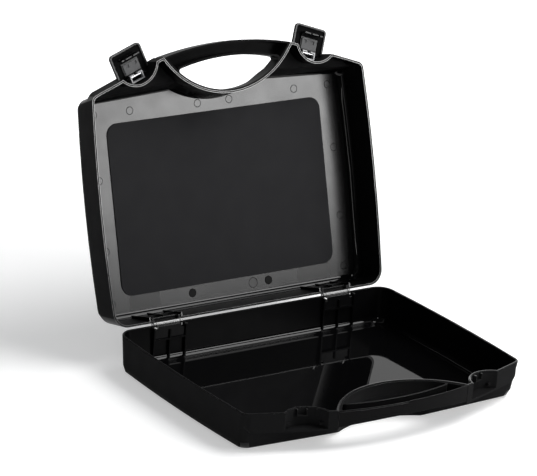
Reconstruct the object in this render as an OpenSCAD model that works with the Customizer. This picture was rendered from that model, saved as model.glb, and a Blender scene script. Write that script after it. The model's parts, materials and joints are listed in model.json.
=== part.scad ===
/* [Case] */
// Width of the case at the rim
case_w = 394; // [360:1:460]
// Depth from the hinge edge to the front corners, without the nose and handle
body_d = 278; // [250:1:320]
// Depth of each half shell, from the parting plane to its outer face
half_h = 48; // [42:1:70]
// Wall thickness of the shells
wall = 2.5; // [2:0.1:3.5]
// Gap between the two rims when the case is closed
parting_gap = 0.3; // [0.1:0.1:0.6]
// Opening angle of the lid, as it stands in the rest position
lid_angle = 106.4; // [80:0.1:115]

/* [Shell form] */
// How far each side wall leans in, from the rim to the bottom edge
side_draft = 2; // [1:0.5:5]
// How far the back wall leans in, from the rim to the bottom edge
back_draft = 2; // [1:0.5:4]
// Height of the rounded bottom edge
edge_h = 10.5; // [6:0.5:12]
// How far the rounded bottom edge turns in
edge_in = 9; // [5:0.5:10]
// Radius of the back corners
back_r = 20; // [14:1:30]
// Radius of the front corners
front_r = 10; // [7:1:14]
// Distance of the front wall's middle ahead of the front corners, at the rim
front_bow = 15.5; // [12:0.5:24]
// How far the front wall leans in from the rim to the bottom edge
front_draft = 13; // [8:1:18]
// Half width of the front wall's middle stretch
front_mid_x = 66; // [55:1:80]
// How far each side wall bows out at its middle
side_bow = 3.5; // [0:0.5:5]

/* [Nose and handle] */
// Depth of the nose from the parting plane
nose_h = 23.5; // [22:0.5:30]
// Distance of the handle's ends ahead of the front corners
nose_reach = 37; // [30:1:48]
// Half width of the handle between its two ends
handle_half_w = 92; // [80:1:100]
// How far the bay behind the handle runs back from the handle's ends
bay_depth = 50; // [50:1:60]
// How much deeper the bay is at the outer face than at the nose
bay_draft = 8; // [0:1:10]
// Rise of the handle's outer arc over its ends
crown_rise = 10.5; // [8:0.5:18]
// Thickness of the grip at its middle, seen from above
grip_w = 18; // [14:1:24]
// Rise of the finger hole's upper edge at its middle
hole_rise = 4; // [2:0.5:8]
// Half width over which that rise is measured
hole_rise_x = 48; // [40:1:60]
// Corner radius of the finger hole
hole_r = 3; // [2:0.5:8]
// Thickness of the handle's flange along the bay
flange_t = 1.8; // [1.5:0.1:4]
// Depth of each handle half at its ends, from the parting plane
handle_h = 20; // [18:0.5:22]
// Depth of each handle half at its middle
handle_mid_h = 15; // [13:0.5:20]
// Height of the lip along one half of the handle's front
lip_h = 1.2; // [0.8:0.1:2]
// Width of that lip
lip_w = 1.1; // [0.8:0.1:1.5]
// Gap around the lip when the case is closed
lip_gap = 0.2; // [0.1:0.1:0.4]
// Gap between a handle half and the bay wall
handle_gap = 0.3; // [0.2:0.1:0.6]

/* [Hinges] */
// Distance of each hinge's middle from the case's side
hinge_inset = 73; // [60:1:100]
// Width of the cut-out in the back walls
hinge_cut_w = 41; // [36:1:48]
// Depth of the cut-out from the parting plane
hinge_cut_h = 5; // [4.5:0.5:7]
// Width of the long knuckle on the base leaf
knuckle_w = 33; // [26:1:36]
// Outer radius of the knuckles
knuckle_r = 3.4; // [3:0.1:4]
// Radius of the hinge pin
hinge_pin_r = 1.5; // [1.2:0.1:2]
// Radial clearance between a pin and its bore
pin_clearance = 0.05; // [0.02:0.01:0.1]
// Distance of the hinge axis behind the rim of the back wall
hinge_out = 2; // [1.5:0.1:2.6]
// Thickness of the hinge leaves
leaf_t = 1.8; // [1.5:0.1:2]
// Depth to which the leaves reach from the parting plane
leaf_h = 16; // [12:1:22]
// Gap between a leaf and the ribs that hold it
leaf_gap = 0.2; // [0.1:0.1:0.4]
// Width of the hinge housing between its outer ribs
housing_w = 43; // [42:1:50]
// Thickness of the housing's ribs
rib_t = 2; // [1.5:0.1:2.5]
// How far the housing's ribs stand out from the back wall
rib_d = 3; // [2.5:0.5:5]

/* [Latches] */
// Distance of each latch's middle from the case's side
latch_inset = 70; // [65:0.5:78]
// Radius of the round latch recess
recess_r = 29.3; // [28.8:0.1:31]
// Distance of the recess's centre outside the slanted face
recess_out = 13.9; // [12:0.1:14.5]
// Depth of the recess from the parting plane
recess_h = 21; // [21:0.5:22]
// Width of the lever
lever_w = 46; // [38:1:46]
// Distance of the pivot behind the slanted face
pivot_in = 6; // [6:0.1:6.5]
// Distance of the pivot from the parting plane
pivot_h = 14.5; // [14:0.1:14.7]
// Distance from the pivot to the lever's tip
lever_reach = 34.5; // [32:0.5:35]
// Thickness of the lever's outer plate
plate_t = 1.8; // [1.5:0.1:2]
// Height of the lever's side walls, with the plate
lever_side_h = 3.5; // [3:0.1:3.5]
// Thickness of the lever's side walls
lever_wall = 2; // [1.5:0.1:2.5]
// Corner radius of the lever's tip
tip_r = 5; // [3:0.5:8]
// Radius of the latch pin
latch_pin_r = 1.5; // [1.2:0.1:1.6]
// Outer radius of the lever's ears
ear_r = 3.4; // [3.2:0.1:3.6]
// Thickness of the lever's ears
ear_t = 2.5; // [2:0.1:3]
// Width of the pivot bracket
bracket_w = 18.8; // [16:0.1:20]
// Sideways gap between the bracket and the ears
ear_gap = 0.4; // [0.3:0.1:0.8]
// Depth of the catch bar's lower face from the parting plane
catch_h = 9; // [7:0.1:9.2]
// Gap between the catch bar and the hook ridge under it
hook_gap = 0.2; // [0.1:0.1:0.4]
// How far the hook ridge reaches in past the pivot
hook_reach = 5.8; // [5:0.1:6.5]

/* [Rims and panel] */
// Height of the tongue on the base's rim
tongue_h = 1; // [0.5:0.1:1.5]
// Width of the tongue
tongue_w = 0.9; // [0.6:0.1:1.2]
// Gap between the tongue and the groove in the lid's rim
tongue_gap = 0.3; // [0.2:0.1:0.4]
// Width of the dark panel in the lid
panel_w = 311; // [280:1:330]
// Height of the dark panel
panel_d = 210; // [180:1:220]
// Distance of the panel from the hinge edge
panel_v = 31; // [30:1:50]
// Thickness of the panel
panel_t = 1.2; // [0.8:0.1:2]
// Corner radius of the panel
panel_r = 15; // [8:1:25]

/* [Hidden] */
$fn = 64;
eps = 0.01;
bow_steps = [0.17, 0.33, 0.5, 0.67, 0.83];
turn_share = 0.29;
turn_thinning = 0.95;
edge_thinning = 0.4;
tongue_root = 0.2;
black = "#1a1a1b";
satin = "#2a2a2c";

// Each half has x across, y from its hinge edge to the handle, and z outwards from the parting plane.
rim_z = parting_gap / 2;
leaf_y = wall + back_draft * leaf_h / (half_h - edge_h) + leaf_gap;
half_w = case_w / 2;
hinge_x = half_w - hinge_inset;
latch_x = half_w - latch_inset;
slant = atan(nose_reach / (half_w - handle_half_w));
corner_x = half_w - front_r;
corner_y = body_d + front_r * tan(slant) - front_r / cos(slant);
end_r = 4;
end_y = body_d + nose_reach;
end_cy = end_y - end_r / cos(slant);
nose_in = 3;
nose_step = 6;
back_step = nose_in + nose_step;

// Knuckle arms start this far outside the parting plane
arm_top = 0.6;
knuckle_gap = 0.4;
plate_gap = 0.3;

// The bay is a circle through the handle's ends, and so is the crown over the handle.
bay_r = (handle_half_w ^ 2 + bay_depth ^ 2) / (2 * bay_depth);
bay_y = end_y - bay_depth + bay_r;
crown_r = (handle_half_w ^ 2 + crown_rise ^ 2) / (2 * crown_rise);
crown_y = end_y + crown_rise - crown_r;
hole_top = end_y + crown_rise - grip_w;
hole_big_r = (hole_rise_x ^ 2 + hole_rise ^ 2) / (2 * hole_rise);
grip_reach = handle_half_w - 1;
face_r = (grip_reach ^ 2 + (handle_h - handle_mid_h) ^ 2) / (2 * (handle_h - handle_mid_h));

// The latch frame has its origin on the slanted face, x along the face and y outwards.
latch_y = body_d + (half_w - latch_x) * tan(slant);
plate_in = pivot_in - plate_t;
lever_half = lever_w / 2;
bracket_half = bracket_w / 2;
ear_in = bracket_half + ear_gap;
root_curl = 45;
root_gap = 0.6;
root_clear = 3;
bracket_z = 2.4;
bracket_front = 3;
bracket_back = -7;
bracket_bar = 1.4;
bracket_gap = 5.2;
hook_z = pivot_h + catch_h + hook_gap;
hook_t = 1.6;
hook_slot = 1.2;
hook_end = 5;
stay_y = 1;
stay_t = 1.2;
stay_h = 4;
catch_ribs = [-14.3, -3, 8.6];
catch_rib_t = 1.2;
hook_segments = [[catch_ribs[0] + hook_slot, catch_ribs[1] - hook_slot],
                 [catch_ribs[1] + hook_slot, catch_ribs[2] - hook_slot],
                 [catch_ribs[2] + hook_slot, catch_ribs[2] + hook_end]];
catch_bar_t = 1.4;
catch_bar_y = -4.6;
catch_top = 0.65;
lug_x = 20;
lug_y = -8;
lug_up = 5.5;
lug_w = 6;
lug_t = 2;
lug_r = 1.4;
clasp_half = 11;
clasp_z = [-18.3, -4.7];
clasp_t = 3;
notch_x = [-8.5, 3];
notch_w = 4;
notch_l = 3.5;
notch_d = 1;
notch_up = 2;
frame_t = 1.1;
frame_gap = 0.15;
frame_top = 0.6;

module at_latch(side) {
    mirror([side < 0 ? 1 : 0, 0, 0])
        translate([latch_x, latch_y, 0])
            rotate([0, 0, -slant])
                children();
}

// The pivot frame has its x along the pin. A closed lever lies in its xz plane, with the tip at -z.
module at_pivot(side) {
    at_latch(side) translate([0, -pivot_in, pivot_h]) children();
}

// Base half: turned over, so that its parting plane looks up at half_h
module place_base() {
    translate([0, body_d / 2, half_h]) rotate([180, 0, 0]) children();
}

// Lid half: mirrored above the base when closed, then swung back about the hinge axis
module place_lid() {
    translate([0, body_d / 2 + hinge_out, half_h])
        rotate([-lid_angle, 0, 0])
            translate([0, -hinge_out, 0])
                mirror([0, 1, 0])
                    children();
}

// Round posts at the back and front corners, along the bowed sides and at the front wall's middle
module ring_level(z, side, back, front, mid, r_back, r_front) {
    translate([0, 0, z])
        for (s = [-1, 1]) {
            translate([s * (side - r_back), back + r_back]) cylinder(r = r_back, h = eps, $fn = 48);
            translate([s * (side - r_front), front]) cylinder(r = r_front, h = eps, $fn = 48);
            translate([s * front_mid_x, mid - end_r]) cylinder(r = end_r, h = eps, $fn = 24);
            for (t = bow_steps)
                translate([s * (side + bow_at(t) - end_r), bow_y(t, back + r_back, front)])
                    cylinder(r = end_r, h = eps, $fn = 24);
        }
}

// Tub with its leaning walls and rounded bottom edge, offset inwards by t
module tub(t, z_top, z_edge, z_end) {
    edge_t = t * edge_thinning;
    turn_t = t * turn_thinning;
    turn_in = edge_in * turn_share;
    hull() {
        ring_level(z_top, half_w - t, t, corner_y, body_d + front_bow - t, back_r - t, front_r - t);
        ring_level(z_edge, half_w - side_draft - t, back_draft + t, corner_y - front_draft / 2,
                   body_d + front_bow - front_draft - t, back_r - t, front_r - t);
        ring_level(z_end - (z_end - z_edge) * turn_share, half_w - side_draft - turn_in - turn_t,
                   back_draft + turn_in + turn_t, corner_y - front_draft / 2 - turn_in - turn_t + t,
                   body_d + front_bow - front_draft - turn_in - turn_t, back_r - turn_in - t, front_r - t);
        ring_level(z_end - eps, half_w - side_draft - edge_in - edge_t, back_draft + edge_in + edge_t,
                   corner_y - front_draft / 2 - edge_in + 2 - (edge_t - t),
                   body_d + front_bow - front_draft - edge_in + 1 - edge_t,
                   back_r - edge_in - t, front_r - t);
    }
}

// Nose behind the two slanted faces, offset inwards by t, with its lower outer corners cut back
module nose(t, z_top, z_end) {
    hull()
        for (s = [-1, 1]) {
            translate([s * (corner_x - nose_in * cos(slant)), corner_y + nose_in * sin(slant), z_top])
                cylinder(r = front_r - t, h = z_end - nose_step - z_top, $fn = 48);
            translate([s * (corner_x - back_step * cos(slant)), corner_y + back_step * sin(slant), z_top])
                cylinder(r = front_r - t, h = z_end - z_top, $fn = 48);
            translate([s * handle_half_w, end_cy, z_top])
                cylinder(r = end_r - t, h = z_end - z_top, $fn = 24);
            translate([s * handle_half_w, body_d - nose_reach, z_top])
                cylinder(r = end_r - t, h = z_end - z_top, $fn = 24);
        }
}

// The side walls' bow at the share t of their length, and where that is between two depths
function bow_at(t) = side_bow * 4 * t * (1 - t);
function bow_y(t, y0, y1) = y0 + t * (y1 - y0);

// Everything in front of the bay wall, offset outwards from the bay by t
module bay(t) {
    translate([0, bay_y, -1]) cylinder(r = bay_r + t, h = nose_h + 1, $fn = 180);
    translate([0, bay_y, nose_h])
        cylinder(r1 = bay_r + t, r2 = bay_r + bay_draft + t, h = half_h - nose_h + eps, $fn = 180);
}

module recess(side, t, h) {
    at_latch(side) translate([0, recess_out, -1]) cylinder(r = recess_r + t, h = h + 1, $fn = 96);
}

// Plan of the rim, offset inwards by t
module rim_plan(t) {
    difference() {
        hull()
            for (s = [-1, 1]) {
                translate([s * (half_w - back_r), back_r]) circle(r = back_r - t, $fn = 48);
                translate([s * corner_x, corner_y]) circle(r = front_r - t, $fn = 48);
                translate([s * handle_half_w, end_cy]) circle(r = end_r - t, $fn = 24);
                for (a = bow_steps)
                    translate([s * (half_w + bow_at(a) - end_r), bow_y(a, back_r, corner_y)])
                        circle(r = end_r - t, $fn = 24);
            }
        translate([0, bay_y]) circle(r = bay_r + t, $fn = 180);
        for (s = [-1, 1])
            mirror([s < 0 ? 1 : 0, 0])
                translate([latch_x, latch_y]) rotate(-slant) translate([0, recess_out])
                    circle(r = recess_r + t, $fn = 96);
    }
}

// Ring along the middle of the rim, for the tongue and its groove
module rim_ring(w, h) {
    linear_extrude(h)
        difference() {
            rim_plan((wall - w) / 2);
            rim_plan((wall + w) / 2);
        }
}

// Grid of ribs on the inside of the back wall, which holds a hinge leaf
module hinge_housing(side) {
    inner = housing_w / 2;
    depth = wall + back_draft + rib_d;
    clip_y = leaf_y + leaf_t + leaf_gap;
    clip_z = hinge_cut_h + 1;
    shelf_z = leaf_h + leaf_gap;
    translate([side * hinge_x, 0, 0]) {
        for (s = [-1, 1])
            translate([s * (inner + rib_t / 2) - rib_t / 2, wall / 2, 1])
                cube([rib_t, depth - wall / 2, half_h - wall - 1]);
        translate([-inner - rib_t, wall, shelf_z]) cube([2 * (inner + rib_t), depth - wall, rib_t]);
        translate([-rib_t / 2, wall, shelf_z]) cube([rib_t, depth - wall, half_h - wall - shelf_z]);
        translate([-rib_t / 2, clip_y, clip_z]) cube([rib_t, depth - clip_y, shelf_z + eps - clip_z]);
    }
}

// Cut-out in the back wall, which starts at the height over above the parting plane
module hinge_cut(side, over = 0) {
    translate([side * hinge_x - hinge_cut_w / 2, -1, -over - 1])
        cube([hinge_cut_w, wall + back_draft + 2, hinge_cut_h + over + 1]);
}

// Shell shared by both halves
module shell_half() {
    difference() {
        union() {
            difference() {
                union() {
                    tub(0, rim_z, half_h - edge_h, half_h);
                    nose(0, rim_z, nose_h);
                }
                difference() {
                    union() {
                        tub(wall, -1, half_h - edge_h, half_h - wall);
                        nose(wall, -1, nose_h - wall);
                    }
                    bay(wall);
                    for (s = [-1, 1]) recess(s, wall, nose_h);
                }
            }
            intersection() {
                for (s = [-1, 1]) hinge_housing(s);
                tub(wall / 2, rim_z, half_h - edge_h, half_h - wall / 2);
            }
        }
        bay(0);
        for (s = [-1, 1]) {
            recess(s, 0, recess_h);
            hinge_cut(s);
        }
    }
}

// Catch in a base recess: three short ribs, and between two of them the bar that the hook ridge goes under
module catch_bar(side) {
    at_latch(side)
        intersection() {
            translate([0, recess_out, 0]) cylinder(r = recess_r + wall / 2, h = half_h, $fn = 96);
            translate([0, -pivot_in, 0]) {
                for (x = catch_ribs)
                    translate([x - catch_rib_t / 2, -recess_r, catch_top])
                        cube([catch_rib_t, recess_r + catch_bar_y, catch_h - catch_top]);
                translate([catch_ribs[1] - catch_rib_t / 2, -recess_r, catch_h - catch_bar_t])
                    cube([catch_ribs[2] - catch_ribs[1] + catch_rib_t, recess_r + catch_bar_y, catch_bar_t]);
            }
        }
}

// Small lugs low on both sides of a base recess
module recess_lugs(side) {
    at_latch(side)
        intersection() {
            translate([0, recess_out, 0]) cylinder(r = recess_r + wall / 2, h = half_h, $fn = 96);
            for (s = [-1, 1])
                translate([s * lug_x, lug_y, recess_h - lug_up]) {
                    translate([-lug_w / 2, -lug_w / 2, 0]) cube([lug_w, lug_w, lug_t]);
                    translate([-lug_w / 2, lug_w / 6, 0]) rotate([0, 90, 0]) cylinder(r = lug_r, h = lug_w);
                }
        }
}

module base_shell() {
    color(black)
        place_base() {
            shell_half();
            for (s = [-1, 1]) {
                catch_bar(s);
                recess_lugs(s);
            }
            difference() {
                translate([0, 0, rim_z - tongue_h]) rim_ring(tongue_w, tongue_h + tongue_root);
                for (s = [-1, 1]) hinge_cut(s, tongue_h);
            }
        }
}

module lid_shell() {
    color(black)
        place_lid()
            difference() {
                shell_half();
                translate([0, 0, rim_z - 1])
                    rim_ring(tongue_w + 2 * tongue_gap, 1 + tongue_h - parting_gap + tongue_gap);
            }
}

// Plan of a handle half, offset inwards by t
module handle_plan(t) {
    intersection() {
        translate([0, crown_y]) circle(r = crown_r - t, $fn = 360);
        translate([0, bay_y]) circle(r = bay_r - handle_gap - t, $fn = 180);
        translate([-grip_reach + t, 0]) square([2 * (grip_reach - t), 2 * body_d]);
    }
}

// Finger hole, grown outwards by t
module finger_plan(t) {
    offset(r = hole_r + t, $fn = 48) offset(delta = -hole_r)
        intersection() {
            translate([0, hole_top - hole_big_r]) circle(r = hole_big_r, $fn = 360);
            translate([0, bay_y]) circle(r = bay_r - handle_gap - flange_t, $fn = 180);
        }
}

// Everything outside the hollow outer face of a handle half, offset inwards by t
module handle_face(t) {
    translate([0, end_y + crown_rise + 1, handle_mid_h + face_r])
        rotate([90, 0, 0]) cylinder(r = face_r + t, h = nose_reach + bay_depth, $fn = 720);
}

// Strip along the front of one half of the handle, which starts at a distance from the middle
module lip_strip(side, start, w, h) {
    linear_extrude(h)
        intersection() {
            difference() {
                handle_plan(0);
                translate([0, crown_y]) circle(r = crown_r - w, $fn = 360);
            }
            translate([side > 0 ? start : -grip_reach, body_d])
                square([grip_reach - start, nose_reach + crown_rise]);
        }
}

// A lip on one side of the middle goes into the rebate on the other half's same side.
module handle_half(lip_side) {
    difference() {
        translate([0, 0, rim_z]) linear_extrude(handle_h - rim_z) handle_plan(0);
        translate([0, 0, -1]) linear_extrude(handle_h + 2) finger_plan(0);
        handle_face(0);
        difference() {
            translate([0, 0, -1])
                linear_extrude(handle_h - wall + 1)
                    difference() {
                        handle_plan(wall);
                        finger_plan(wall);
                    }
            handle_face(wall);
        }
        translate([0, 0, rim_z - eps]) lip_strip(-lip_side, lip_gap, lip_w + lip_gap, lip_h);
    }
    translate([0, 0, rim_z - lip_h]) lip_strip(lip_side, 2 * lip_gap, lip_w, lip_h + eps);
}

module base_handle_half() {
    color(satin) place_base() handle_half(1);
}

module lid_handle_half() {
    color(satin) place_lid() handle_half(-1);
}

// Leaf plate between the housing's ribs, just inside the back wall
module leaf_plate() {
    half = housing_w / 2 - leaf_gap;
    low = hinge_cut_h + plate_gap;
    translate([-half, leaf_y, low]) cube([2 * half, leaf_t, leaf_h - low]);
}

// One knuckle with its arm, from x = from to x = to
module knuckle(from, to) {
    translate([from, -hinge_out, 0]) rotate([0, 90, 0]) cylinder(r = knuckle_r, h = to - from);
    translate([from, -hinge_out, arm_top]) cube([to - from, hinge_out + leaf_y + leaf_t, knuckle_r - arm_top]);
    translate([from, leaf_y, arm_top]) cube([to - from, leaf_t, leaf_h - arm_top]);
}

module pin_bore() {
    translate([-housing_w, -hinge_out, 0])
        rotate([0, 90, 0]) cylinder(r = hinge_pin_r + pin_clearance, h = 2 * housing_w);
}

module base_leaf(side) {
    color(satin)
        place_base()
            translate([side * hinge_x, 0, 0])
                difference() {
                    union() {
                        leaf_plate();
                        knuckle(-knuckle_w / 2, knuckle_w / 2);
                    }
                    pin_bore();
                }
}

module lid_leaf(side) {
    inner = knuckle_w / 2 + knuckle_gap;
    outer = hinge_cut_w / 2 - plate_gap;
    color(satin)
        place_lid()
            translate([side * hinge_x, 0, 0])
                difference() {
                    union() {
                        leaf_plate();
                        knuckle(-outer, -inner);
                        knuckle(inner, outer);
                    }
                    pin_bore();
                }
}

module hinge_pin(side) {
    length = hinge_cut_w - 2 * plate_gap;
    color("silver")
        place_base()
            translate([side * hinge_x - length / 2, -hinge_out, 0])
                rotate([0, 90, 0]) cylinder(r = hinge_pin_r, h = length);
}

// Lever outline in its own plane: round tip corners, and a root that follows the round recess
module lever_plan(t) {
    intersection() {
        offset(r = tip_r - t) offset(delta = -tip_r)
            translate([-lever_half, -lever_reach]) square([lever_w, lever_reach + 3 * tip_r]);
        union() {
            translate([0, -recess_out - pivot_in]) circle(r = recess_r - root_gap - t, $fn = 96);
            translate([-lever_w, -lever_w]) square([2 * lever_w, lever_w - recess_out - pivot_in]);
        }
        translate([-lever_w, -lever_w]) square([2 * lever_w, lever_w]);
    }
}

module from_face(y0, y1) {
    translate([0, y1, 0]) rotate([90, 0, 0]) linear_extrude(y1 - y0) children();
}

// Curled root of the lever, a stretch of tube about the pivot
module lever_root() {
    intersection() {
        rotate([0, 90, 0]) rotate([0, 0, 90]) translate([0, 0, -lever_half])
            rotate_extrude(angle = root_curl) translate([plate_in, 0]) square([plate_t, lever_w]);
        translate([0, 2 * lever_w, -recess_out - pivot_in])
            rotate([90, 0, 0]) cylinder(r = recess_r - root_gap, h = 4 * lever_w, $fn = 96);
    }
}

module lever_body() {
    difference() {
        union() {
            from_face(plate_in, pivot_in) lever_plan(0);
            lever_root();
            intersection() {
                from_face(pivot_in - lever_side_h, plate_in + eps)
                    difference() {
                        lever_plan(0);
                        lever_plan(lever_wall);
                    }
                translate([-lever_w, 0, -lever_w - root_clear]) cube([2 * lever_w, pivot_in, lever_w]);
            }
            for (seg = hook_segments)
                translate([seg[0], -hook_reach, -hook_z - hook_t])
                    cube([seg[1] - seg[0], hook_reach + plate_in + eps, hook_t]);
            translate([hook_segments[0][0], stay_y, -hook_z - eps])
                cube([stay_t, plate_in - stay_y + eps, stay_h]);
            for (s = [-1, 1])
                translate([s > 0 ? ear_in : -ear_in - ear_t, 0, 0]) {
                    rotate([0, 90, 0]) cylinder(r = ear_r, h = ear_t);
                    translate([0, 0, -ear_r]) cube([ear_t, plate_in + eps, 2 * ear_r]);
                }
            clasp_frame();
        }
        translate([-lever_w, 0, 0]) rotate([0, 90, 0]) cylinder(r = latch_pin_r + pin_clearance, h = 2 * lever_w);
    }
}

// Low frame that the clasp block sits in
module clasp_frame() {
    half = clasp_half + frame_gap;
    low = clasp_z[0] - frame_gap;
    high = clasp_z[1] + frame_gap;
    from_face(pivot_in - lever_side_h, plate_in + eps)
        difference() {
            translate([-half - frame_t, low - frame_t])
                square([2 * (half + frame_t), high - low + frame_t + frame_top]);
            translate([-half, low]) square([2 * half, high - low]);
        }
}

// A lever at rest stands a quarter turn open
module place_latch(side) {
    place_lid() at_pivot(side) rotate([90, 0, 0]) children();
}

module latch_lever(side) {
    color(black) place_latch(side) lever_body();
}

module latch_clasp(side) {
    color("#6e6e70")
        place_latch(side)
            difference() {
                translate([-clasp_half, plate_in - clasp_t, clasp_z[0]])
                    cube([2 * clasp_half, clasp_t, clasp_z[1] - clasp_z[0]]);
                for (x = notch_x)
                    translate([x, plate_in - clasp_t - 1, clasp_z[0] + notch_up])
                        cube([notch_w, 1 + notch_d, notch_l]);
            }
}

// Box-shaped bracket round the pivot, open at the middle of its front
module latch_bracket(side) {
    depth = bracket_front - bracket_back;
    color("silver")
        place_lid() at_pivot(side)
            difference() {
                translate([-bracket_half, bracket_back, -bracket_z]) cube([bracket_w, depth, 2 * bracket_z]);
                translate([-bracket_half + bracket_bar, bracket_back + bracket_bar, -bracket_z - 1])
                    cube([bracket_w - 2 * bracket_bar, depth - 2 * bracket_bar, 2 * bracket_z + 2]);
                translate([-bracket_gap / 2, 0, -bracket_z - 1])
                    cube([bracket_gap, bracket_front + 1, 2 * bracket_z + 2]);
                translate([-lever_w, 0, 0])
                    rotate([0, 90, 0]) cylinder(r = latch_pin_r + pin_clearance, h = 2 * lever_w);
            }
}

module latch_pin(side) {
    half = ear_in + ear_t;
    color("silver")
        place_lid() at_pivot(side)
            translate([-half, 0, 0]) rotate([0, 90, 0]) cylinder(r = latch_pin_r, h = 2 * half);
}

module lid_panel() {
    color("#2b2b2d")
        place_lid()
            translate([0, panel_v + panel_d / 2, half_h - wall - panel_t])
                linear_extrude(panel_t)
                    offset(r = panel_r) square([panel_w - 2 * panel_r, panel_d - 2 * panel_r], center = true);
}

base_shell();
lid_shell();
base_handle_half();
lid_handle_half();
base_leaf(-1);  // hinge_base_leaf_left
base_leaf(1);  // hinge_base_leaf_right
lid_leaf(-1);  // hinge_lid_leaf_left
lid_leaf(1);  // hinge_lid_leaf_right
hinge_pin(-1);  // hinge_pin_left
hinge_pin(1);  // hinge_pin_right
latch_lever(-1);  // latch_lever_left
latch_lever(1);  // latch_lever_right
latch_clasp(-1);  // latch_clasp_left
latch_clasp(1);  // latch_clasp_right
latch_bracket(-1);  // latch_bracket_left
latch_bracket(1);  // latch_bracket_right
latch_pin(-1);  // latch_pin_left
latch_pin(1);  // latch_pin_right
lid_panel();
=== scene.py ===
import json
import math

import bmesh
import bpy
from mathutils import Matrix, Vector

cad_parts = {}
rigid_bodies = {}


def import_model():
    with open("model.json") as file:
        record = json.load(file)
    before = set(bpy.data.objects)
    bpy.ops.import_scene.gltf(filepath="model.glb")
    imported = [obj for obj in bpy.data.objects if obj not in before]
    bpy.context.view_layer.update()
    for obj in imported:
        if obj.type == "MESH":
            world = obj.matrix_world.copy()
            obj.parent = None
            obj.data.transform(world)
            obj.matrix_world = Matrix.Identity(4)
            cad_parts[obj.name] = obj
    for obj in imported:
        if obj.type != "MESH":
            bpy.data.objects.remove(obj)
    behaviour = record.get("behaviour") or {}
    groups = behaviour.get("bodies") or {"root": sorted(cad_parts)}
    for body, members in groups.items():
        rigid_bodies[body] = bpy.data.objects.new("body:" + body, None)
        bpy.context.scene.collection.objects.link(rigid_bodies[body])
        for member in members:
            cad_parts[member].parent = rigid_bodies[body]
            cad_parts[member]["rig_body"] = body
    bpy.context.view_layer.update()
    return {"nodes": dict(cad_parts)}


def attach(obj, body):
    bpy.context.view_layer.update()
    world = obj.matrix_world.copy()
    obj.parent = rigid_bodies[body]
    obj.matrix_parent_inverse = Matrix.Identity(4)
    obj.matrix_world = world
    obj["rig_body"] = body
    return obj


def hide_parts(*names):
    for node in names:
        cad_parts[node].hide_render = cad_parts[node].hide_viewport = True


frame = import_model()

MM = 0.001

# Driving dimensions of the case, in millimetres, as the solids have them
HALF_W = 197.0
BODY_D = 278.0
HALF_H = 48.0
WALL = 2.5
SIDE_DRAFT = 2.0
BACK_DRAFT = 2.0
EDGE_H = 10.5
EDGE_IN = 9.0
TURN_SHARE = 0.29
BACK_R = 20.0
SIDE_BOW = 3.5
NOSE_H = 23.5
NOSE_REACH = 37.0
HANDLE_HALF_W = 92.0
BAY_DEPTH = 50.0
BAY_DRAFT = 8.0
FRONT_BOW = 15.5
FRONT_DRAFT = 13.0
RECESS_R = 29.3
RECESS_OUT = 13.9
LATCH_X = 127.0
LID_ANGLE = math.radians(106.4)
HINGE_OUT = 2.0

SLANT = math.atan(NOSE_REACH / (HALF_W - HANDLE_HALF_W))
END_Y = BODY_D + NOSE_REACH
BAY_R = (HANDLE_HALF_W ** 2 + BAY_DEPTH ** 2) / (2 * BAY_DEPTH)
BAY_Y = END_Y - BAY_DEPTH + BAY_R
LATCH_Y = BODY_D + (HALF_W - LATCH_X) * math.tan(SLANT)

# Each half has its own frame: x across, v from the hinge edge to the handle, and w outwards from the
# parting plane.
BASE_FRAME = (Matrix.Translation((0, BODY_D / 2 * MM, HALF_H * MM))
              @ Matrix.Rotation(math.pi, 4, "X")
              @ Matrix.Scale(MM, 4))
LID_FRAME = (Matrix.Translation((0, (BODY_D / 2 + HINGE_OUT) * MM, HALF_H * MM))
             @ Matrix.Rotation(-LID_ANGLE, 4, "X")
             @ Matrix.Translation((0, -HINGE_OUT * MM, 0))
             @ Matrix.Scale(MM, 4)
             @ Matrix.Scale(-1, 4, (0, 1, 0)))

# Camera, as fitted to the photograph
YAW = math.radians(-35.055)
PITCH = math.radians(19.560)
ROLL = math.radians(3.994)
EYE = Vector((-2.1355, -2.9257, 1.4672))
LENS = 218.86
SENSOR = 36.0
CLIP_START = 0.1
CLIP_END = 50

# Light that the room gives, and what the room shows in reflections at the front and at the back,
# between two heights of the direction's Y
WHITE = (1, 1, 1, 1)
ROOM_COLOUR = (0.96, 0.98, 1, 1)
ROOM_LIGHT = 0.25
ROOM_FRONT = 0.06
ROOM_BACK = 1.0
ROOM_FRONT_Y = -0.1
ROOM_BACK_Y = 0.4

# Floor, and how its own light rises from the case outwards; the weaker glow near the case is painted shade on
# the floor round it
FLOOR_SIZE = 12
FLOOR_COLOUR = (0.8, 0.8, 0.8, 1)
FLOOR_GLOW = 0.4
GLOW_START = 0.4
GLOW_END = 1.4

# Lamps: name, place, point aimed at, width, height and watts
LAMPS = [
    ("key", (1.15, -1.5, 0.66), (0, 0.2, 0.2), 0.8, 0.45, 12.5),
    ("top", (1.0, -0.5, 1.8), (0, 0, 0.1), 1.3, 1.3, 40),
    ("strip", (-1.2, -1.9, 0.5), (0, 0.2, 0.2), 0.12, 0.9, 4),
]

# Mottling of the roughness, and the detail of the grain and of the waviness
CLOUD_SCALE = 45
CLOUD_DETAIL = 6
CLOUD_LOW = 0.3
CLOUD_HIGH = 0.7
LEAST_ROUGHNESS = 0.02
GRAIN_DETAIL = 2
WAVE_DETAIL = 1

# Meshes: points nearer than WELD metres become one, and faces within FLAT of one plane become one
WELD = 2e-6
FLAT = math.radians(0.5)

# Edges sharper than this many degrees are rounded, to these widths in millimetres
SHARP = 30
SHELL_SHARP = 55
BEVEL = 0.3
PIN_BEVEL = 0.2
HANDLE_BEVEL = 0.25
LEAF_BEVEL = 0.4
BEVEL_SEGMENTS = 2
NORMAL_WEIGHT = 100

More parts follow.
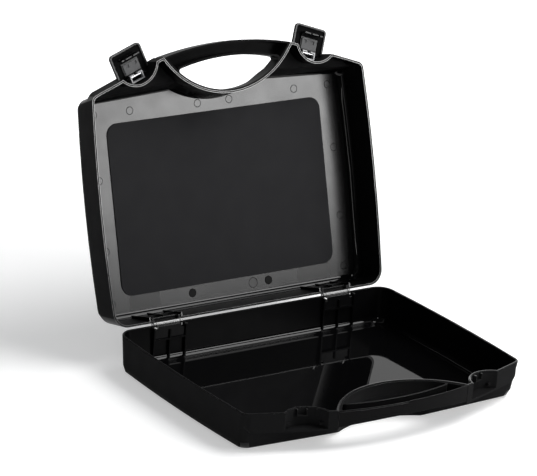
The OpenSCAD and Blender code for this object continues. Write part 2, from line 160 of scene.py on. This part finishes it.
# Material slots of a small piece, and those of a shell
BODY_FACES, EDGE_FACES, TOP_FACES = range(3)
OUTER_FACES, INNER_FACES, FLOOR_FACES, RIM_FACES, WALL_FACES = range(5)

# Limits that sort the faces, in millimetres: the depth of a shell's rim, how far above the floor a
# face still counts as floor, how far short of the front the inside ends, the depths at which an open
# lever's wall tops and its hook's tip stand, and the reach of a knuckle round the hinge axis
RIM_DEPTH = 1.0
FLOOR_SLACK = 0.5
FRONT_SLACK = 6.0
LEVER_TOP = 17.0
LEVER_TOP_SLACK = 0.3
HOOK_TIP = 9.5
KNUCKLE_REACH = 4.4

# How squarely a face looks towards the parting plane to count as rim or as a lever's top
RIM_FACING = 0.7
LEVER_FACING = 0.9

# Round moulding marks on the lid's floor: place across, place from the hinge edge, radius and material
MARKS = [
    (-120, 254, 5, "lid_floor"), (-23, 252, 5, "lid_floor"), (23, 252, 5, "lid_floor"),
    (120, 254, 5, "lid_floor"), (-171, 254, 5, "lid_floor"), (171, 254, 5, "lid_floor"),
    (-172, 174.5, 5, "lid_floor"), (172, 174.5, 5, "lid_floor"), (-172, 88.5, 5, "lid_floor"),
    (172, 88.5, 5, "lid_floor"), (-171, 24, 5, "lid_floor"), (171, 24, 5, "lid_floor"),
    (-56, 22, 5.5, "mark_dark"), (56, 22, 5.5, "mark_dark"), (33, 22, 6.5, "mark_rough"),
]
MARK_RISE = 0.05
MARK_RING = 0.8
MARK_SIDES = 48

# Slightly rougher fields beside them: from and to across, from and to from the hinge edge
FIELDS = [(-146, -103, 12.5, 33), (100, 148, 12.5, 33)]
FIELD_RISE = 0.03


def make_camera():
    back = Vector((math.sin(YAW) * math.cos(PITCH), -math.cos(YAW) * math.cos(PITCH), math.sin(PITCH)))
    right = Vector((math.cos(YAW), math.sin(YAW), 0))
    up = back.cross(right)
    right_rolled = math.cos(ROLL) * right + math.sin(ROLL) * up
    up_rolled = math.cos(ROLL) * up - math.sin(ROLL) * right
    data = bpy.data.cameras.new("camera")
    data.lens = LENS
    data.sensor_width = SENSOR
    data.clip_start = CLIP_START
    data.clip_end = CLIP_END
    camera = bpy.data.objects.new("camera", data)
    bpy.context.scene.collection.objects.link(camera)
    turn = Matrix((right_rolled, up_rolled, back)).transposed().to_4x4()
    camera.matrix_world = Matrix.Translation(EYE) @ turn
    bpy.context.scene.camera = camera


def shader(material):
    return next(n for n in material.node_tree.nodes if n.type == "BSDF_PRINCIPLED")


def noise(tree, place, scale, detail):
    node = tree.nodes.new("ShaderNodeTexNoise")
    node.inputs["Scale"].default_value = scale
    node.inputs["Detail"].default_value = detail
    tree.links.new(place, node.inputs["Vector"])
    return node.outputs["Fac"]


def map_range(tree, value, low, high, to_low, to_high, interpolation="LINEAR"):
    """Maps low to high onto to_low to to_high, and holds the ends."""
    node = tree.nodes.new("ShaderNodeMapRange")
    node.interpolation_type = interpolation
    for name, number in (("From Min", low), ("From Max", high), ("To Min", to_low), ("To Max", to_high)):
        node.inputs[name].default_value = number
    tree.links.new(value, node.inputs["Value"])
    return node.outputs["Result"]


def math_node(tree, operation, first, second):
    node = tree.nodes.new("ShaderNodeMath")
    node.operation = operation
    tree.links.new(first, node.inputs[0])
    tree.links.new(second, node.inputs[1])
    return node.outputs[0]


def plastic(name, colour, roughness, specular=0.5, grain_mm=0.0, grain_depth=0.0, wave_mm=0.0,
            wave_depth=0.0, mottle=0.0, coat=0.0):
    """Moulded plastic: a plain colour with a mottled shine, a fine grain and a slow waviness."""
    material = bpy.data.materials.new(name)
    material.use_nodes = True
    tree = material.node_tree
    surface = shader(material)
    surface.inputs["Base Color"].default_value = (*colour, 1)
    surface.inputs["Roughness"].default_value = roughness
    surface.inputs["Specular IOR Level"].default_value = specular
    surface.inputs["Coat Weight"].default_value = coat
    place = tree.nodes.new("ShaderNodeTexCoord").outputs["Object"]
    if mottle:
        cloud = noise(tree, place, CLOUD_SCALE, CLOUD_DETAIL)
        least = max(LEAST_ROUGHNESS, roughness - mottle)
        spread = map_range(tree, cloud, CLOUD_LOW, CLOUD_HIGH, least, roughness + mottle)
        tree.links.new(spread, surface.inputs["Roughness"])
    normal = None
    for size, depth, detail in ((grain_mm, grain_depth, GRAIN_DETAIL), (wave_mm, wave_depth, WAVE_DETAIL)):
        if not size:
            continue
        height = noise(tree, place, 1 / (size * MM), detail)
        bump = tree.nodes.new("ShaderNodeBump")
        bump.inputs["Strength"].default_value = 1
        bump.inputs["Distance"].default_value = depth * MM
        tree.links.new(height, bump.inputs["Height"])
        if normal:
            tree.links.new(normal, bump.inputs["Normal"])
        normal = bump.outputs["Normal"]
    if normal:
        tree.links.new(normal, surface.inputs["Normal"])
    return material


def steel(name):
    material = plastic(name, (0.6, 0.6, 0.62), 0.25, 0.5, mottle=0.08)
    shader(material).inputs["Metallic"].default_value = 1
    return material


MATERIALS = {
    "outer": plastic("outer black", (0.010, 0.010, 0.0103), 0.55, 0.012,
                     grain_mm=0.9, grain_depth=0.08, mottle=0.05),
    "inner": plastic("inner black", (0.002, 0.002, 0.0022), 0.035, 0.2, wave_mm=80, wave_depth=0.08),
    # The edge and rim blacks are lighter than the hinge, handle and latch blacks they trim: there they are
    # painted highlights, besides their real shine
    "edge": plastic("edge black", (0.01, 0.01, 0.0102), 0.3, 0.35, mottle=0.03),
    "wall": plastic("wall black", (0.002, 0.002, 0.0022), 0.3, 0.06, mottle=0.03),
    "rim": plastic("rim black", (0.01, 0.01, 0.0102), 0.28, 1.0, mottle=0.03, coat=0.5),
    "lid_floor": plastic("lid floor black", (0.004, 0.004, 0.0042), 0.24, 0.5,
                         wave_mm=70, wave_depth=0.15, mottle=0.02),
    "handle": plastic("handle black", (0.006, 0.006, 0.0062), 0.4, 0.025,
                      grain_mm=0.9, grain_depth=0.08, mottle=0.05),
    "field": plastic("field black", (0.004, 0.004, 0.0042), 0.3, 0.42, mottle=0.02),
    "mark_dark": plastic("dark mark", (0.002, 0.002, 0.0022), 0.45, 0.1, mottle=0.05),
    "mark_rough": plastic("rough mark", (0.05, 0.05, 0.05), 0.4, 0.4,
                          grain_mm=2, grain_depth=0.4, mottle=0.1),
    "hinge": plastic("hinge black", (0.004, 0.004, 0.0042), 0.25, 0.1, mottle=0.04),
    "latch": plastic("latch black", (0.003, 0.003, 0.0032), 0.4, 0.015,
                     grain_mm=1.2, grain_depth=0.04, mottle=0.05),
    "clasp": plastic("clasp grey", (0.06, 0.06, 0.062), 0.4, 0.3,
                     grain_mm=1.0, grain_depth=0.04, mottle=0.05),
    "bracket": plastic("bracket grey", (0.28, 0.28, 0.29), 0.25, 0.5, mottle=0.05),
    "panel": plastic("panel grey", (0.014, 0.014, 0.0153), 0.6, 0.1,
                     grain_mm=0.7, grain_depth=0.04, mottle=0.05),
    "pin": steel("pin steel"),
}


def turned_in(w):
    """How far the rounded bottom edge has turned in at depth w."""
    low = HALF_H - EDGE_H
    knee = HALF_H - EDGE_H * TURN_SHARE
    if w <= low:
        return 0
    if w <= knee:
        return EDGE_IN * TURN_SHARE * (w - low) / (knee - low)
    return EDGE_IN * (TURN_SHARE + (1 - TURN_SHARE) * (w - knee) / (HALF_H - knee))


def side_at(w, v):
    """Half width of the tub's outer side at depth w and distance v from the hinge edge."""
    t = min(1, max(0, (v - BACK_R) / (BODY_D - 2 * BACK_R)))
    lean = SIDE_DRAFT * min(1, w / (HALF_H - EDGE_H))
    return HALF_W + SIDE_BOW * 4 * t * (1 - t) - lean - turned_in(w)


def back_at(w):
    """Distance of the tub's outer back from the hinge edge at depth w."""
    return BACK_DRAFT * min(1, w / (HALF_H - EDGE_H)) + turned_in(w)


def is_inside(point):
    """True for a point of a half's surface that is nearer to the compartment's side of the wall."""
    x, v, w = abs(point.x), point.y, point.z
    t = WALL / 2
    if w > HALF_H - t or w < RIM_DEPTH:
        return False
    if x > side_at(w, v) - t or v < back_at(w) + t:
        return False
    bay_r = BAY_R + max(0, w - NOSE_H) / (HALF_H - NOSE_H) * BAY_DRAFT
    if math.hypot(x, v - BAY_Y) < bay_r + t:
        return False
    centre = Vector((LATCH_X, LATCH_Y)) + RECESS_OUT * Vector((math.sin(SLANT), math.cos(SLANT)))
    if math.hypot(x - centre.x, v - centre.y) < RECESS_R + t:
        return False
    ahead = (v - BODY_D - (HALF_W - x) * math.tan(SLANT)) * math.cos(SLANT)
    if w < NOSE_H - t:
        return ahead < -t
    return v < BODY_D + FRONT_BOW - FRONT_DRAFT - FRONT_SLACK


def is_knuckle(face):
    """True for the faces of a hinge leaf round the hinge axis; they take the rim black as a painted
    highlight.
    """
    point = BASE_FRAME.inverted() @ face.center
    return math.hypot(point.y + HINGE_OUT, point.z) < KNUCKLE_REACH


def is_lever_top(face):
    """True for the tops of an open lever's side walls and for the tip of its hook; they take the edge black
    as a painted highlight.
    """
    w = (LID_FRAME.inverted() @ face.center).z
    out = LID_FRAME.to_3x3().normalized().col[2]
    is_top = LEVER_TOP - LEVER_TOP_SLACK < w < LEVER_TOP + LEVER_TOP_SLACK
    return face.normal.dot(out) < -LEVER_FACING and (is_top or w < HOOK_TIP)


def copy_of(node):
    """A free copy of a node's mesh, welded, which then stands for the node."""
    source = frame["nodes"][node]
    mesh = source.data.copy()
    piece = bpy.data.objects.new(node + "_dressed", mesh)
    bpy.context.scene.collection.objects.link(piece)
    work = bmesh.new()
    work.from_mesh(mesh)
    bmesh.ops.remove_doubles(work, verts=work.verts, dist=WELD)
    bmesh.ops.dissolve_limit(work, angle_limit=FLAT, verts=work.verts, edges=work.edges)
    work.to_mesh(mesh)
    work.free()
    return piece


def finish_piece(piece, node, bevel, sharp, edge):
    """Rounds the edges, smooths the shading and puts the piece on the node's body."""
    piece.data.shade_smooth()
    piece.data.set_sharp_from_angle(angle=math.radians(sharp))
    rounding = piece.modifiers.new("edges", "BEVEL")
    rounding.width = bevel * MM
    rounding.segments = BEVEL_SEGMENTS
    rounding.limit_method = "ANGLE"
    rounding.angle_limit = math.radians(sharp)
    rounding.use_clamp_overlap = True
    rounding.material = edge
    normals = piece.modifiers.new("normals", "WEIGHTED_NORMAL")
    normals.keep_sharp = False
    normals.weight = NORMAL_WEIGHT
    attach(piece, frame["nodes"][node]["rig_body"])
    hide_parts(node)


def dress(node, material, bevel=BEVEL, edge=None, top="rim", picked=None):
    """Dresses a small piece: one material, another one on its edges, and a third on the faces picked."""
    piece = copy_of(node)
    mesh = piece.data
    mesh.materials.clear()
    for name in (material, edge or material, top):
        mesh.materials.append(MATERIALS[name])
    for face in mesh.polygons:
        face.material_index = TOP_FACES if picked and picked(face) else BODY_FACES
    finish_piece(piece, node, bevel, SHARP, EDGE_FACES)


def dress_shell(node, half_frame, floor_material):
    """Dresses a shell: its outside, the compartment's floor, corners and walls, and the rim."""
    piece = copy_of(node)
    mesh = piece.data
    mesh.materials.clear()
    for name in ("outer", "inner", floor_material, "rim", "wall"):
        mesh.materials.append(MATERIALS[name])
    to_half = half_frame.inverted()
    out = half_frame.to_3x3().normalized().col[2]
    for face in mesh.polygons:
        point = to_half @ face.center
        face.material_index = OUTER_FACES
        if is_inside(point):
            if point.z < HALF_H - EDGE_H:
                face.material_index = WALL_FACES
            elif point.z > HALF_H - WALL - FLOOR_SLACK:
                face.material_index = FLOOR_FACES
            else:
                face.material_index = INNER_FACES
        elif point.z < RIM_DEPTH and face.normal.dot(out) < -RIM_FACING:
            face.material_index = RIM_FACES
    finish_piece(piece, node, BEVEL, SHELL_SHARP, RIM_FACES)


def put_on_lid(piece, name, material):
    piece.name = name
    piece.data.materials.append(MATERIALS[material])
    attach(piece, frame["nodes"]["lid_shell"]["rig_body"])


def lid_disc(name, x, v, radius, rise, material):
    bpy.ops.mesh.primitive_cylinder_add(vertices=MARK_SIDES, radius=radius * MM, depth=2 * rise * MM)
    disc = bpy.context.object
    place = Matrix.Translation(LID_FRAME @ Vector((x, v, HALF_H - WALL)))
    turn = LID_FRAME.to_3x3().normalized()
    turn.col[1] = -turn.col[1]
    disc.data.transform(place @ turn.to_4x4())
    put_on_lid(disc, name, material)


def make_fields():
    """Two flat fields on the lid's floor, a little rougher than the floor."""
    for index, (x0, x1, v0, v1) in enumerate(FIELDS):
        bpy.ops.mesh.primitive_cube_add(size=1)
        field = bpy.context.object
        middle = Vector(((x0 + x1) / 2, (v0 + v1) / 2, HALF_H - WALL))
        sides = Matrix.Diagonal((x1 - x0, v1 - v0, 2 * FIELD_RISE, 1))
        field.data.transform(LID_FRAME @ Matrix.Translation(middle) @ sides)
        field.data.flip_normals()
        put_on_lid(field, f"lid_field_{index + 1}", "field")


def make_marks():
    """Each mark is a dark ring round a disc of its own."""
    for index, (x, v, radius, material) in enumerate(MARKS):
        lid_disc(f"lid_mark_{index + 1}_ring", x, v, radius, MARK_RISE, "mark_dark")
        lid_disc(f"lid_mark_{index + 1}", x, v, radius - MARK_RING, 2 * MARK_RISE, material)


def ray_kinds(tree):
    """Two outputs: 1 for camera and transmission rays, and 1 for glossy rays, else 0."""
    path = tree.nodes.new("ShaderNodeLightPath").outputs
    direct = math_node(tree, "MAXIMUM", path["Is Camera Ray"], path["Is Transmission Ray"])
    return direct, path["Is Glossy Ray"]


def make_floor():
    """White floor: partly its own light where it is seen, so that it comes out white and keeps the shadow.
    The glow is weaker near the case, which is painted shade on the floor round it.
    """
    bpy.ops.mesh.primitive_plane_add(size=FLOOR_SIZE, location=(0, 0, 0))
    floor = bpy.context.object
    floor.name = "floor"
    material = bpy.data.materials.new("floor white")
    material.use_nodes = True
    tree = material.node_tree
    tree.nodes.clear()
    out = tree.nodes.new("ShaderNodeOutputMaterial")
    cloth = tree.nodes.new("ShaderNodeBsdfDiffuse")
    cloth.inputs["Color"].default_value = FLOOR_COLOUR
    glow = tree.nodes.new("ShaderNodeEmission")
    glow.inputs["Color"].default_value = WHITE
    both = tree.nodes.new("ShaderNodeAddShader")
    tree.links.new(cloth.outputs[0], both.inputs[0])
    tree.links.new(glow.outputs[0], both.inputs[1])
    place = tree.nodes.new("ShaderNodeTexCoord")
    distance = tree.nodes.new("ShaderNodeVectorMath")
    distance.operation = "LENGTH"
    tree.links.new(place.outputs["Object"], distance.inputs[0])
    # Painted shade: the glow is weaker near the case and reaches full strength further out
    rise = map_range(tree, distance.outputs["Value"], GLOW_START, GLOW_END, FLOOR_GLOW, 1, "SMOOTHSTEP")
    direct, glossy = ray_kinds(tree)
    seen = math_node(tree, "MAXIMUM", direct, glossy)
    tree.links.new(math_node(tree, "MULTIPLY", rise, seen), glow.inputs["Strength"])
    tree.links.new(both.outputs[0], out.inputs["Surface"])
    floor.data.materials.append(material)


def background(tree, colour, strength=1):
    node = tree.nodes.new("ShaderNodeBackground")
    node.inputs["Color"].default_value = colour
    node.inputs["Strength"].default_value = strength
    return node


def mix(tree, factor, first, second):
    node = tree.nodes.new("ShaderNodeMixShader")
    tree.links.new(factor, node.inputs["Fac"])
    tree.links.new(first.outputs[0], node.inputs[1])
    tree.links.new(second.outputs[0], node.inputs[2])
    return node


def make_world():
    """White where it is seen, dark on the camera's side for reflections, and weak for everything else."""
    world = bpy.data.worlds.new("studio")
    bpy.context.scene.world = world
    world.use_nodes = True
    tree = world.node_tree
    tree.nodes.clear()
    out = tree.nodes.new("ShaderNodeOutputWorld")
    place = tree.nodes.new("ShaderNodeTexCoord")
    split = tree.nodes.new("ShaderNodeSeparateXYZ")
    tree.links.new(place.outputs["Generated"], split.inputs[0])
    mirrored = map_range(tree, split.outputs["Y"], ROOM_FRONT_Y, ROOM_BACK_Y, ROOM_FRONT, ROOM_BACK)
    room = background(tree, WHITE)
    tree.links.new(mirrored, room.inputs["Strength"])
    direct, glossy = ray_kinds(tree)
    unseen = mix(tree, glossy, background(tree, ROOM_COLOUR, ROOM_LIGHT), room)
    all_rays = mix(tree, direct, unseen, background(tree, WHITE))
    tree.links.new(all_rays.outputs[0], out.inputs["Surface"])


def area_light(name, place, aim, width, height, watts):
    data = bpy.data.lights.new(name, "AREA")
    data.shape = "RECTANGLE"
    data.size = width
    data.size_y = height
    data.energy = watts
    light = bpy.data.objects.new(name, data)
    bpy.context.scene.collection.objects.link(light)
    turn = (Vector(aim) - Vector(place)).to_track_quat("-Z", "Y").to_matrix().to_4x4()
    light.matrix_world = Matrix.Translation(place) @ turn


make_camera()
make_floor()
make_world()
for lamp in LAMPS:
    area_light(*lamp)

dress_shell("base_shell", BASE_FRAME, "inner")
dress_shell("lid_shell", LID_FRAME, "lid_floor")
for half in ("base", "lid"):
    # Handle bevels in the lighter rim black: painted highlight lines
    dress(f"{half}_handle_half", "handle", bevel=HANDLE_BEVEL, edge="rim")
    for side in ("left", "right"):
        # Leaf bevels in the lighter edge black and knuckles in the lighter rim black: painted highlights
        dress(f"hinge_{half}_leaf_{side}", "hinge", bevel=LEAF_BEVEL, edge="edge", picked=is_knuckle)
for side in ("left", "right"):
    dress(f"hinge_pin_{side}", "pin", bevel=PIN_BEVEL)
    # Lever bevels, wall tops and hook tip in the lighter edge black: painted highlights
    dress(f"latch_lever_{side}", "latch", edge="edge", top="edge", picked=is_lever_top)
    dress(f"latch_clasp_{side}", "clasp")
    dress(f"latch_bracket_{side}", "bracket")
    dress(f"latch_pin_{side}", "pin", bevel=PIN_BEVEL)
dress("lid_panel", "panel")

make_fields()
make_marks()

bpy.context.scene.view_settings.view_transform = "Standard"
